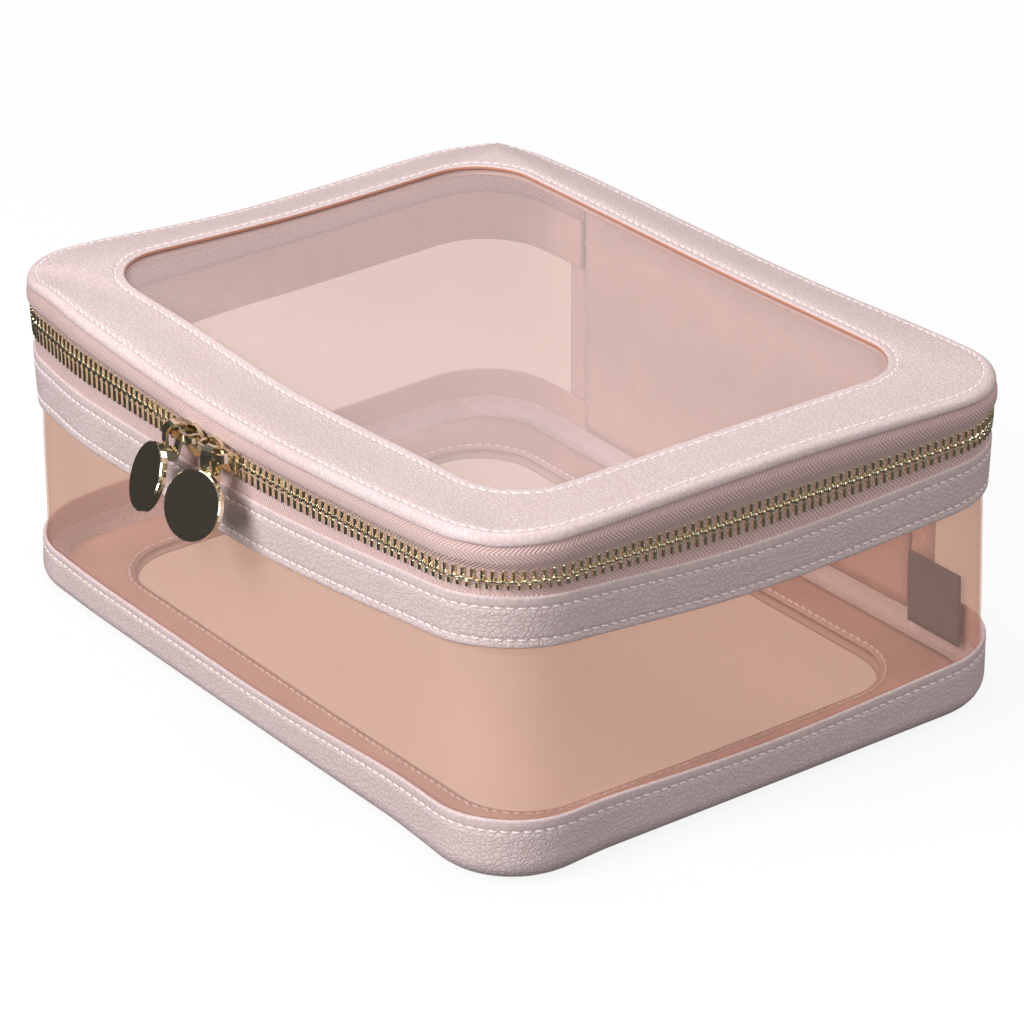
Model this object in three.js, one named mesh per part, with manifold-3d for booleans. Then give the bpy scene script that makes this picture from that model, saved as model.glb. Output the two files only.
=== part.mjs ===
// Soft makeup train case: a zipped box bag of pebbled leather and frosted clear sheet.
// Millimetres, +Z up. The bag stands on its base, its zip pulls face -Y and its lid hinges at +Y.
import * as THREE from 'three';
import { mergeVertices } from 'three/addons/utils/BufferGeometryUtils.js';
import Module from 'manifold-3d';

const wasm = await Module();
wasm.setup();

// ---- Driving dimensions ----
const WIDTH = 250;
const DEPTH = 188;
const HEIGHT = 102;
const CORNER_RADIUS = 27;
const FRONT_BOW = 5;            // the soft front swells this far at its middle, from lid to band
const BASE_BOW = 0.4;           // the tray keeps its front nearly straight
const PULL_REACH = 25.04;        // how far the hanging discs stand in front of the bag's front corners
const GAP = 0.3;                // clearance between pieces that touch

// Layers of sheet, each counted inwards from the bag's outer face
const LEATHER = 1.2;
const SHEET = 0.6;
const TAPE = 0.8;
const LINING = 0.8;
const SHEET_INSET = LEATHER + GAP;
const LINING_INSET = SHEET_INSET + TAPE + GAP;

// Levels above the table
const LIP_BOTTOM = 98.6;
const ZIP_LEVEL = 87.6;
const BAND_TOP = 81;
const BAND_BOTTOM = 65.5;
const SHEET_TOP = 73;
const TRAY_TOP = 17.5;

// Frames around the clear windows in the lid and the base
const SIDE_FRAME = 25;
const END_FRAME = 22.5;
const WINDOW_RADIUS = 20;
const WINDOW_OVERLAP = 6;       // the clear sheet runs this far under the leather, past the stitches

// Leather panel in the middle of the back, which is also the lid's hinge
const PANEL_HALF = 86;
const SEAM_OVERLAP = 8;

// Zip
const TOOTH_HEIGHT = 2.2;
const ROW_GAP = 1.6;
const CHAIN_INSET = 0.7;
const CHAIN_THICKNESS = 2.4;
const STOP_LENGTH = 3;

// Slider, crown, link and disc
const SLIDER_OFFSET = 8;        // each slider's centre from the middle of the front
const SLIDER_LENGTH = 14;
const SLIDER_WIDTH = 10;
const PLATE = 1.2;
const PLATE_CLEARANCE = 0.4;    // between the bag's front face and the plate that slides over it
const CROWN_LENGTH = 13;
const CROWN_WIDTH = 2.6;
const CROWN_THICKNESS = 1;
const CROWN_RISE = 2.2;         // the crown crosses the plate this far above the zip's middle line
const LINK_INNER_RADIUS = 2;    // around the crown; the link tapers towards the disc's pin
const PIN_RADIUS = 0.75;
const LINK_THICKNESS = 0.9;
const LINK_WIDTH = 3.4;
const LINK_LENGTH = 6.5;        // between the centres of its two round ends
const LINK_SHIFT = 1.5;         // the link sits this far towards the slider's outer end
const DISC_RADIUS = 10;
const DISC_THICKNESS = 2.2;
const DISC_DROP = 8;            // from the disc's pin down to its centre
const DISC_STANDOFF = 4.1;      // from the pin out to the middle of the disc's thickness
const LINK_TILT = THREE.MathUtils.degToRad(10);
const DISC_TILT = THREE.MathUtils.degToRad(22);
const PULL_YAW = THREE.MathUtils.degToRad(14);

const CORNER_STEPS = 8;
const FRONT_STEPS = 8;
const CURVE_STEPS = 5;

// ---- Materials ----
function finish(color, roughness, metalness = 0, opacity = 1) {
  return new THREE.MeshStandardMaterial({ color, roughness, metalness, opacity, transparent: opacity < 1 });
}

const leather = () => finish(0xdcc6c3, 0.55);
const clearSheet = () => finish(0xd8b4a6, 0.35, 0, 0.45);
const wovenTape = () => finish(0xd9bcb8, 0.85);
const liningCloth = () => finish(0xcfae9f, 0.8);
const board = () => finish(0xb9b2a8, 0.9);
const gold = () => finish(0xd8c48e, 0.15, 1);
const labelCloth = () => finish(0x8a7872, 0.8);

// ---- Outlines ----
// The bag's plan is a rounded rectangle whose front is one shallow arc. An inset moves every side
// inwards by the same amount, so layers made at different insets stay parallel.
function frontRadius(bow) {
  return (WIDTH / 2) ** 2 / (2 * bow);
}

function arc(centreX, centreY, radius, startAngle, endAngle, steps) {
  const points = [];
  for (let i = 0; i <= steps; i++) {
    const angle = startAngle + ((endAngle - startAngle) * i) / steps;
    points.push(new THREE.Vector2(centreX + radius * Math.cos(angle), centreY + radius * Math.sin(angle)));
  }
  return points;
}

// Points run counter-clockwise from the back left. With openAt set, the outline starts and ends
// on the back at that distance either side of the middle; otherwise it closes on itself.
function outline({ inset = 0, bow = FRONT_BOW, openAt = 0 }) {
  const radius = CORNER_RADIUS - inset;
  const cornerX = WIDTH / 2 - CORNER_RADIUS;
  const backY = DEPTH / 2 - CORNER_RADIUS;
  const bigRadius = frontRadius(bow);
  const bigCentre = bigRadius - DEPTH / 2 - bow;
  const frontY = bigCentre - Math.sqrt((bigRadius - CORNER_RADIUS) ** 2 - cornerX ** 2);
  const lean = Math.atan2(cornerX, bigCentre - frontY);
  const down = -Math.PI / 2;
  const points = [
    ...arc(-cornerX, backY, radius, Math.PI / 2, Math.PI, CORNER_STEPS),
    ...arc(-cornerX, frontY, radius, -Math.PI, down - lean, CORNER_STEPS),
    ...arc(0, bigCentre, bigRadius - inset, down - lean, down + lean, FRONT_STEPS).slice(1, -1),
    ...arc(cornerX, frontY, radius, down + lean, 0, CORNER_STEPS),
    ...arc(cornerX, backY, radius, 0, Math.PI / 2, CORNER_STEPS),
  ];
  if (openAt > 0) {
    points.unshift(new THREE.Vector2(-openAt, DEPTH / 2 - inset));
    points.push(new THREE.Vector2(openAt, DEPTH / 2 - inset));
  }
  return points;
}

// A window's outline has as many points as the bag's own, in the same order, so that a frame can
// be lofted from one to the other. The margin grows the window on every side.
function windowOutline(margin = 0) {
  const radius = WINDOW_RADIUS + margin;
  const cornerX = WIDTH / 2 - SIDE_FRAME - WINDOW_RADIUS;
  const cornerY = DEPTH / 2 - END_FRAME - WINDOW_RADIUS;
  const frontEdge = -cornerY - radius;
  const front = [];
  for (let i = 1; i < FRONT_STEPS; i++) {
    front.push(new THREE.Vector2(cornerX * ((2 * i) / FRONT_STEPS - 1), frontEdge));
  }
  return [
    ...arc(-cornerX, cornerY, radius, Math.PI / 2, Math.PI, CORNER_STEPS),
    ...arc(-cornerX, -cornerY, radius, -Math.PI, -Math.PI / 2, CORNER_STEPS),
    ...front,
    ...arc(cornerX, -cornerY, radius, -Math.PI / 2, 0, CORNER_STEPS),
    ...arc(cornerX, cornerY, radius, 0, Math.PI / 2, CORNER_STEPS),
  ];
}

// ---- Solids ----
function signedVolume(positions, faces) {
  const [a, b, c] = [new THREE.Vector3(), new THREE.Vector3(), new THREE.Vector3()];
  let total = 0;
  for (let i = 0; i < faces.length; i += 3) {
    a.fromArray(positions, 3 * faces[i]);
    b.fromArray(positions, 3 * faces[i + 1]);
    c.fromArray(positions, 3 * faces[i + 2]);
    total += a.dot(b.cross(c)) / 6;
  }
  return total;
}

// Sweeps a section along a path. Each ring holds one section corner's points along the whole path;
// an open path is capped at both ends.
function loft(rings, section, closed) {
  const count = rings[0].length;
  const positions = rings.flatMap((ring) => ring.flatMap((point) => point.toArray()));
  const faces = [];
  const steps = closed ? count : count - 1;
  for (let r = 0; r < rings.length; r++) {
    const next = (r + 1) % rings.length;
    for (let i = 0; i < steps; i++) {
      const j = (i + 1) % count;
      faces.push(r * count + i, next * count + i, next * count + j);
      faces.push(r * count + i, next * count + j, r * count + j);
    }
  }
  if (!closed) {
    for (const [p, q, s] of THREE.ShapeUtils.triangulateShape(section, [])) {
      const turn = THREE.ShapeUtils.isClockWise(section) ? [p, q, s] : [p, s, q];
      faces.push(...turn.map((corner) => corner * count));
      faces.push(...turn.reverse().map((corner) => corner * count + count - 1));
    }
  }
  if (signedVolume(positions, faces) < 0) {
    faces.reverse();
  }
  const geometry = new THREE.BufferGeometry();
  geometry.setAttribute('position', new THREE.Float32BufferAttribute(positions, 3));
  geometry.setIndex(faces);
  geometry.computeVertexNormals();
  return geometry;
}

function atLevel(points, z) {
  return points.map((point) => new THREE.Vector3(point.x, point.y, z));
}

// A band that follows the bag's outline; its section is a list of [inset, level, bow] corners.
function band(corners, { bow = FRONT_BOW, openAt = 0 } = {}) {
  const rings = corners.map(([inset, z, ownBow = bow]) => {
    const path = outline({ inset, bow: ownBow, openAt });
    return atLevel(path, z);
  });
  const section = corners.map(([inset, z]) => new THREE.Vector2(inset, z));
  return loft(rings, section, openAt === 0);
}

function upright(inset, thickness, bottom, top) {
  return [[inset, bottom], [inset, top], [inset + thickness, top], [inset + thickness, bottom]];
}

// A flat sheet with an optional hole, from one level up to another.
function sheet(edge, hole, bottom, top) {
  const shape = new THREE.Shape(edge);
  if (hole) {
    shape.holes.push(new THREE.Path(hole));
  }
  const geometry = new THREE.ExtrudeGeometry(shape, { depth: top - bottom, bevelEnabled: false });
  return geometry.translate(0, 0, bottom);
}

function slab(x0, x1, y0, y1, z0, z1) {
  const box = new THREE.BoxGeometry(x1 - x0, y1 - y0, z1 - z0);
  return box.translate((x0 + x1) / 2, (y0 + y1) / 2, (z0 + z1) / 2);
}

// Joins overlapping pieces of one solid into a single closed skin.
function join(geometries) {
  const solids = geometries.map((geometry) => {
    const bare = geometry.clone();
    bare.deleteAttribute('normal');
    bare.deleteAttribute('uv');
    const merged = mergeVertices(bare, 1e-4);
    const vertProperties = Float32Array.from(merged.attributes.position.array);
    const triVerts = Uint32Array.from(merged.index.array);
    return new wasm.Manifold(new wasm.Mesh({ numProp: 3, vertProperties, triVerts }));
  });
  const whole = solids.reduce((sum, solid) => sum.add(solid)).getMesh();
  const geometry = new THREE.BufferGeometry();
  geometry.setAttribute('position', new THREE.Float32BufferAttribute(whole.vertProperties, 3));
  geometry.setIndex(Array.from(whole.triVerts));
  geometry.computeVertexNormals();
  return geometry;
}

function node(name, geometry, material) {
  const mesh = new THREE.Mesh(geometry, material);
  mesh.name = name;
  return mesh;
}

// ---- Lid ----
function lidFrame() {
  const softEdge = 0.9;
  const underside = HEIGHT - LEATHER;
  const outer = [[0, LIP_BOTTOM], [0, HEIGHT - softEdge], [softEdge, HEIGHT]];
  const inner = [[LEATHER, underside], [LEATHER, LIP_BOTTOM]];
  const ring = ([inset, z]) => atLevel(outline({ inset }), z);
  const windowRings = [atLevel(windowOutline(), HEIGHT), atLevel(windowOutline(), underside)];
  const rings = [...outer.map(ring), ...windowRings, ...inner.map(ring)];
  return node('lid_frame', loft(rings, null, true), leather());
}

function lidLayers() {
  const windowTop = HEIGHT - LEATHER - GAP;
  const windowBottom = windowTop - LINING;
  const liningTop = windowBottom - GAP;
  const sheetEdge = windowOutline(WINDOW_OVERLAP);
  const boardHole = windowOutline(WINDOW_OVERLAP + 2 * GAP);
  const edge = outline({ inset: LINING_INSET });
  return [
    node('lid_window', sheet(sheetEdge, null, windowBottom, windowTop), clearSheet()),
    node('lid_stiffener', sheet(edge, boardHole, windowBottom, windowTop), board()),
    node('lid_lining_frame', sheet(edge, windowOutline(1), liningTop - LINING, liningTop), liningCloth()),
  ];
}

function lidZip() {
  const teethTop = ZIP_LEVEL + ROW_GAP / 2 + TOOTH_HEIGHT;
  const tapeTop = HEIGHT - LEATHER - GAP;
  const tucked = PANEL_HALF - SEAM_OVERLAP;
  const tape = band(upright(SHEET_INSET, TAPE, teethTop + GAP, tapeTop), { openAt: tucked });
  const row = upright(CHAIN_INSET, CHAIN_THICKNESS, ZIP_LEVEL + ROW_GAP / 2, teethTop);
  const teeth = band(row, { openAt: PANEL_HALF + GAP });
  return [node('zip_tape_upper', tape, wovenTape()), node('zip_teeth_upper', teeth, gold())];
}

// ---- Back panel, which folds at the zip's level to hinge the lid ----
function backStrip(halfWidth, inset, thickness, bottom, top) {
  const outerY = DEPTH / 2 - inset;
  return slab(-halfWidth, halfWidth, outerY - thickness, outerY, bottom, top);
}

function hingeFlap() {
  const strip = backStrip(PANEL_HALF, 0, LEATHER, ZIP_LEVEL + GAP, LIP_BOTTOM - GAP);
  return node('hinge_flap', strip, leather());
}

function backPanel() {
  const panel = backStrip(PANEL_HALF, 0, LEATHER, TRAY_TOP + GAP, ZIP_LEVEL - GAP);
  const lining = backStrip(PANEL_HALF - SEAM_OVERLAP - 1, SHEET_INSET, LINING, TRAY_TOP / 2, ZIP_LEVEL - GAP);
  return [node('back_panel', panel, leather()), node('back_panel_lining', lining, liningCloth())];
}

// ---- Body ----
function bodyWalls() {
  const openAt = PANEL_HALF + GAP;
  const tucked = PANEL_HALF - SEAM_OVERLAP;
  const teethBottom = ZIP_LEVEL - ROW_GAP / 2 - TOOTH_HEIGHT;
  const tapeTop = teethBottom - GAP;
  const outside = [[SHEET_INSET, TRAY_TOP / 2, BASE_BOW], [SHEET_INSET, TRAY_TOP, BASE_BOW]]
    .concat([[SHEET_INSET, BAND_BOTTOM], [SHEET_INSET, SHEET_TOP]]);
  const inside = outside.map(([inset, ...rest]) => [inset + SHEET, ...rest]).reverse();
  const liningTop = ZIP_LEVEL - SLIDER_WIDTH / 2 - 2 * GAP;
  const bandLining = upright(LINING_INSET, LINING, BAND_BOTTOM + GAP, liningTop);
  const tape = upright(SHEET_INSET, TAPE, SHEET_TOP + GAP, tapeTop);
  const teeth = upright(CHAIN_INSET, CHAIN_THICKNESS, teethBottom, teethBottom + TOOTH_HEIGHT);
  return [
    node('band', band(upright(0, LEATHER, BAND_BOTTOM, BAND_TOP), { openAt }), leather()),
    node('band_lining', band(bandLining, { openAt: tucked }), liningCloth()),
    node('clear_wall', band([...outside, ...inside], { openAt: tucked }), clearSheet()),
    node('zip_tape_lower', band(tape, { openAt: tucked }), wovenTape()),
    node('zip_teeth_lower', band(teeth, { openAt: PANEL_HALF + STOP_LENGTH }), gold()),
  ];
}

// A clamp at each end of the lower row of teeth, which stops the slider.
function zipStop(side) {
  const bottom = ZIP_LEVEL - ROW_GAP / 2 - TOOTH_HEIGHT;
  const near = PANEL_HALF + GAP;
  const far = PANEL_HALF + STOP_LENGTH - GAP;
  const backY = DEPTH / 2 - CHAIN_INSET;
  const block = slab(near, far, backY - CHAIN_THICKNESS, backY, bottom, bottom + TOOTH_HEIGHT);
  block.scale(side, 1, 1);
  if (side < 0) {
    block.index.array.reverse();
  }
  return node(side < 0 ? 'zip_stop_left' : 'zip_stop_right', block, gold());
}

// ---- Tray and base ----
function tray() {
  const bend = 6;
  const quarter = (radius, up) => {
    const corners = [];
    for (let i = 0; i <= CURVE_STEPS; i++) {
      const angle = ((up ? i : CURVE_STEPS - i) / CURVE_STEPS) * (Math.PI / 2);
      corners.push([bend - radius * Math.sin(angle), bend - radius * Math.cos(angle)]);
    }
    return corners;
  };
  const corners = [
    ...quarter(bend, true),
    [0, TRAY_TOP],
    [LEATHER, TRAY_TOP],
    ...quarter(bend - LEATHER, false),
  ];
  return node('tray_band', band(corners, { bow: BASE_BOW }), leather());
}

function baseLayers() {
  const seam = 6 + GAP;
  const edge = outline({ inset: seam, bow: BASE_BOW });
  const sheetBottom = LEATHER + GAP;
  const boardTop = sheetBottom + LINING;
  const boardEdge = outline({ inset: seam + GAP, bow: BASE_BOW });
  const boardHole = windowOutline(WINDOW_OVERLAP + 2 * GAP);
  const liningBottom = boardTop + GAP;
  const lining = sheet(boardEdge, windowOutline(1), liningBottom, liningBottom + LINING);
  return [
    node('base_frame', sheet(edge, windowOutline(), 0, LEATHER), leather()),
    node('base_window', sheet(windowOutline(WINDOW_OVERLAP), null, sheetBottom, boardTop), clearSheet()),
    node('base_stiffener', sheet(boardEdge, boardHole, sheetBottom, boardTop), board()),
    node('base_lining_frame', lining, liningCloth()),
  ];
}

// A blank cloth label, sewn into the panel's seam inside the back corner.
function label() {
  const width = 22;
  const height = 23;
  const left = PANEL_HALF - 6;
  const backY = DEPTH / 2 - SHEET_INSET - LINING - 2 * GAP - 1;
  const bottom = 7;
  const tag = slab(left, left + width, backY - SHEET, backY, bottom, bottom + height);
  return node('label', tag, labelCloth());
}

// ---- Zip sliders and pulls ----
// Built around a local origin on the bag's front face at the zip's level: +X along the zip towards
// the slider's nose, -Y outwards, +Z up. The nose is the wide end, where the two rows meet.
function sliderPlate() {
  const half = SLIDER_LENGTH / 2;
  const lobe = SLIDER_WIDTH / 2;
  const shape = new THREE.Shape();
  shape.moveTo(-half, -lobe * 0.55);
  shape.lineTo(-half * 0.1, -lobe * 0.62);
  shape.quadraticCurveTo(half * 0.25, -lobe * 1.18, half * 0.7, -lobe * 0.82);
  shape.quadraticCurveTo(half, -lobe * 0.5, half, 0);
  shape.quadraticCurveTo(half, lobe * 0.5, half * 0.7, lobe * 0.82);
  shape.quadraticCurveTo(half * 0.25, lobe * 1.18, -half * 0.1, lobe * 0.62);
  shape.lineTo(-half, lobe * 0.55);
  shape.closePath();
  const settings = { depth: PLATE, bevelEnabled: false, curveSegments: CURVE_STEPS };
  return new THREE.ExtrudeGeometry(shape, settings).rotateX(Math.PI / 2);
}

function sliderBody() {
  const rearFace = CHAIN_INSET + CHAIN_THICKNESS + GAP;
  const front = sliderPlate().translate(0, -PLATE_CLEARANCE, 0);
  const rear = sliderPlate().translate(0, rearFace + PLATE, 0);
  const postHalf = ROW_GAP / 2 - GAP;
  const postEnd = SLIDER_LENGTH / 2 - 0.5;
  const postStart = postEnd - 3;
  const postFront = -PLATE_CLEARANCE - PLATE / 2;
  const post = slab(postStart, postEnd, postFront, rearFace + PLATE / 2, -postHalf, postHalf);
  return join([front, rear, post]);
}

const CROWN_FOOT = -(PLATE_CLEARANCE + PLATE + GAP);
const CROWN_AXIS = CROWN_FOOT - LINK_THICKNESS - LINK_INNER_RADIUS - 0.5;

// An arched strap over the front plate, which the link hangs from.
function crown() {
  const half = CROWN_LENGTH / 2;
  const innerHalf = half - CROWN_THICKNESS;
  const outer = CROWN_AXIS - CROWN_THICKNESS / 2;
  const inner = outer + CROWN_THICKNESS;
  const shoulder = 2;
  const shape = new THREE.Shape();
  shape.moveTo(-half, CROWN_FOOT);
  shape.quadraticCurveTo(-half, outer, -half + shoulder, outer);
  shape.lineTo(half - shoulder, outer);
  shape.quadraticCurveTo(half, outer, half, CROWN_FOOT);
  shape.lineTo(innerHalf, CROWN_FOOT);
  shape.quadraticCurveTo(innerHalf, inner, half - shoulder, inner);
  shape.lineTo(shoulder - half, inner);
  shape.quadraticCurveTo(-innerHalf, inner, -innerHalf, CROWN_FOOT);
  shape.closePath();
  const settings = { depth: CROWN_WIDTH, bevelEnabled: false, curveSegments: CURVE_STEPS };
  return new THREE.ExtrudeGeometry(shape, settings).translate(0, 0, -CROWN_WIDTH / 2);
}

// The outline around two circles, the second one hanging below the first.
function taperedLoop(topRadius, bottomRadius, length) {
  const lean = Math.asin((topRadius - bottomRadius) / length);
  const top = arc(0, 0, topRadius, -lean, Math.PI + lean, 2 * CURVE_STEPS);
  const bottom = arc(0, -length, bottomRadius, Math.PI + lean, 2 * Math.PI - lean, 2 * CURVE_STEPS);
  return [...top, ...bottom];
}

// The link is a long ring of strip, hanging from the origin down to the disc's pin.
function link() {
  const low = PIN_RADIUS + GAP;
  const edge = taperedLoop(LINK_INNER_RADIUS + LINK_THICKNESS, low + LINK_THICKNESS, LINK_LENGTH);
  const shape = new THREE.Shape(edge);
  shape.holes.push(new THREE.Path(taperedLoop(LINK_INNER_RADIUS, low, LINK_LENGTH)));
  const strip = new THREE.ExtrudeGeometry(shape, { depth: LINK_WIDTH, bevelEnabled: false });
  return strip.translate(0, 0, -LINK_WIDTH / 2).rotateX(Math.PI / 2).rotateZ(Math.PI / 2);
}

// A thick plain disc with two ears and a pin behind it. Its origin is on the pin's axis.
function disc() {
  const chamfer = 0.3;
  const half = DISC_THICKNESS / 2;
  const inside = DISC_RADIUS - chamfer;
  const rim = [[inside, -half], [DISC_RADIUS, chamfer - half], [DISC_RADIUS, half - chamfer], [inside, half]];
  const profile = [[0, -half], ...rim, [0, half]].map(([r, y]) => new THREE.Vector2(r, y));
  const coin = new THREE.LatheGeometry(profile, 32).translate(0, -DISC_STANDOFF, -DISC_DROP);
  const earInside = LINK_WIDTH / 2 + GAP;
  const earOutside = earInside + 0.9;
  const earHeight = PIN_RADIUS + 0.5;
  const pin = new THREE.CylinderGeometry(PIN_RADIUS, PIN_RADIUS, 2 * earOutside, 12).rotateZ(Math.PI / 2);
  const ears = [[-earOutside, -earInside], [earInside, earOutside]].map(([x0, x1]) =>
    slab(x0, x1, -DISC_STANDOFF, earHeight, -earHeight, earHeight));
  return join([coin, pin, ...ears]);
}

// Places a slider's pieces at its distance along the front's arc. The side is -1 for left.
function zipPull(side) {
  const word = side < 0 ? 'left' : 'right';
  const radius = frontRadius(FRONT_BOW);
  const turn = (side * SLIDER_OFFSET) / radius;
  const slider = new THREE.Group();
  slider.position.set(0, radius - DEPTH / 2 - FRONT_BOW, ZIP_LEVEL);
  slider.rotation.z = turn;

  const onFront = new THREE.Group();
  onFront.position.y = -radius;
  slider.add(onFront);

  const hardware = new THREE.Group();
  hardware.rotation.y = side > 0 ? Math.PI : 0;
  const lift = side > 0 ? -CROWN_RISE : CROWN_RISE;
  const strap = crown().translate(0, 0, lift);
  hardware.add(node(`slider_${word}`, sliderBody(), gold()), node(`crown_${word}`, strap, gold()));
  onFront.add(hardware);

  const pull = new THREE.Group();
  pull.position.set(side * LINK_SHIFT, CROWN_AXIS, CROWN_RISE);
  pull.rotation.set(-LINK_TILT, 0, side * PULL_YAW, 'ZXY');
  const coin = node(`disc_${word}`, disc(), gold());
  coin.position.z = -LINK_LENGTH;
  coin.rotation.x = LINK_TILT - DISC_TILT;
  pull.add(node(`link_${word}`, link(), gold()), coin);
  onFront.add(pull);
  return slider;
}

// ---- The whole bag, centred over its own footprint ----
const bag = new THREE.Group();
bag.position.y = PULL_REACH / 2;
bag.add(lidFrame(), ...lidLayers(), ...lidZip(), hingeFlap());
bag.add(...backPanel(), ...bodyWalls(), zipStop(-1), zipStop(1));
bag.add(tray(), ...baseLayers(), label());
bag.add(zipPull(-1), zipPull(1));

export default bag;
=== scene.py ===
"""A soft makeup train case: pebbled leather, frosted clear sheet and a two-way metal zip.

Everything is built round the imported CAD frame, in metres. The zip pulls face -Y and the lid's hinge is at +Y.
Levels and sides come from the CAD nodes' boxes; the short lists of sizes below are the sewing's own.
"""

import math

import bmesh
import bpy
import numpy as np
from mathutils import Matrix, Vector


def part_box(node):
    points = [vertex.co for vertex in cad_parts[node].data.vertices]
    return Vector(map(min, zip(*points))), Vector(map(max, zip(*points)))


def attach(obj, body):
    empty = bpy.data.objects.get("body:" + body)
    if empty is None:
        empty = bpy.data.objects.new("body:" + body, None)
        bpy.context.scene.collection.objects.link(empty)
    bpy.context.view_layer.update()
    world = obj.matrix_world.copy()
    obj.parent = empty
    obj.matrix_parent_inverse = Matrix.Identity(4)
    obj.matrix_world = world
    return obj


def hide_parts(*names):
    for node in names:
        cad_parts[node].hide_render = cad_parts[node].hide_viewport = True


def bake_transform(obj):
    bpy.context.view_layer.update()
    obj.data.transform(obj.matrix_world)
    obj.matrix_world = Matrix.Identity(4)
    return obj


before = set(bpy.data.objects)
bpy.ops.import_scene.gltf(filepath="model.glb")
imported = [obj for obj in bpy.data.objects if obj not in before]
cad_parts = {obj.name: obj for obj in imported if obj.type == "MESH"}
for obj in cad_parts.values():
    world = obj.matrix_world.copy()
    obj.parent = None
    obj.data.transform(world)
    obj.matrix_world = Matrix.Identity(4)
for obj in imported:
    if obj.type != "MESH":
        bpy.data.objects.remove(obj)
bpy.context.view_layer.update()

MM = 0.001

# ---- Sizes of the bag: three that no box gives, and the rest from the CAD boxes ----
BASE_BOW = 0.4 * MM
CORNER = 27 * MM
GAP = 0.3 * MM
tray_low, tray_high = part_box("tray_band")
band_low, band_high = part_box("band")
lid_low, lid_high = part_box("lid_frame")
panel_low, panel_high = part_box("back_panel")
window_low, window_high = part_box("lid_window")
WIDTH = tray_high.x - tray_low.x
DEPTH = tray_high.y - tray_low.y - BASE_BOW
BACK_Y = tray_high.y
CENTRE_Y = BACK_Y - DEPTH / 2
FRONT_BOW = tray_high.y - band_low.y - DEPTH
TRAY_TOP = tray_high.z
BAND_BOTTOM = band_low.z
BAND_TOP = band_high.z
LIP_BOTTOM = lid_low.z
HEIGHT = lid_high.z
PANEL_HALF = panel_high.x
LEATHER = panel_high.y - panel_low.y
ZIP_LEVEL = panel_high.z + GAP

# ---- Thicknesses of the layers, and how far each lies inside the outer face ----
SHEET = 0.6 * MM
TAPE = 0.8 * MM
LINING = 0.8 * MM
SHEET_INSET = 1.5 * MM
LINING_INSET = 2.6 * MM
BASE_INSET = 6.3 * MM

# ---- Sizes of the sewing ----
WINDOW_OVERLAP = 6 * MM
WINDOW_RADIUS = 20 * MM
WINDOW_X = window_high.x - WINDOW_OVERLAP
WINDOW_Y = (window_high.y - window_low.y) / 2 - WINDOW_OVERLAP
BOARD_MARGIN = WINDOW_OVERLAP + 0.6 * MM
LINING_MARGIN = 1 * MM
PANEL_TUCK = PANEL_HALF - 8 * MM
STITCH_PITCH = 3.1 * MM
STITCH_LENGTH = 2.45 * MM
THREAD_RADIUS = 0.3 * MM
SEAM_DENT = 0.36 * MM
SEAM_WIDTH = 0.6 * MM
ROW_STEP = 0.5 * MM
LID_SEAM = 3.2 * MM
WINDOW_SEAM = 2.6 * MM
BAND_TOP_SEAM = 3.5 * MM
BAND_LOW_SEAM = 2.5 * MM
TRAY_SEAM = 3.2 * MM
TOOTH_PITCH = 2.85 * MM
TOOTH_MIDDLE = 1.15 * MM

# Stations along each stretch of the outline: half of the back, a corner, a side, the front
HALF_BACK_STEPS = 26
CORNER_STEPS = 16
SIDE_STEPS = 34
FRONT_STEPS = 60


# ---- Outlines in plan ----
def straight(start, end, normal, count):
    share = np.linspace(0, 1, count, endpoint=False)[:, None]
    start, end = np.array(start), np.array(end)
    return start + share * (end - start), np.tile(np.array(normal, float), (count, 1))


def turn(centre, radius, start, end, count):
    angles = np.linspace(start, end, count, endpoint=False)
    normals = np.column_stack([np.cos(angles), np.sin(angles)])
    return np.array(centre) + radius * normals, normals


def gather(stretches, last):
    points = np.vstack([points for points, normals in stretches] + [[last]])
    normals = np.vstack([normals for points, normals in stretches] + [[(0, 1)]])
    points[:, 1] += CENTRE_Y
    return points, normals


def rim(bow, open_at=0.0):
    """Outer points and outward normals, counter-clockwise from the back at x = -open_at to x = open_at."""
    down = -math.pi / 2
    corner_x = WIDTH / 2 - CORNER
    back_y = DEPTH / 2 - CORNER
    radius = (WIDTH / 2) ** 2 / (2 * bow)
    centre = radius - DEPTH / 2 - bow
    front_y = centre - math.sqrt((radius - CORNER) ** 2 - corner_x ** 2)
    lean = math.atan2(corner_x, centre - front_y)
    stretches = [
        straight((-open_at, DEPTH / 2), (-corner_x, DEPTH / 2), (0, 1), HALF_BACK_STEPS),
        turn((-corner_x, back_y), CORNER, math.pi / 2, math.pi, CORNER_STEPS),
        straight((-WIDTH / 2, back_y), (-WIDTH / 2, front_y), (-1, 0), SIDE_STEPS),
        turn((-corner_x, front_y), CORNER, -math.pi, down - lean, CORNER_STEPS),
        turn((0, centre), radius, down - lean, down + lean, FRONT_STEPS),
        turn((corner_x, front_y), CORNER, down + lean, 0, CORNER_STEPS),
        straight((WIDTH / 2, front_y), (WIDTH / 2, back_y), (1, 0), SIDE_STEPS),
        turn((corner_x, back_y), CORNER, 0, math.pi / 2, CORNER_STEPS),
        straight((corner_x, DEPTH / 2), (open_at, DEPTH / 2), (0, 1), HALF_BACK_STEPS),
    ]
    return gather(stretches, (open_at, DEPTH / 2))


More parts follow.
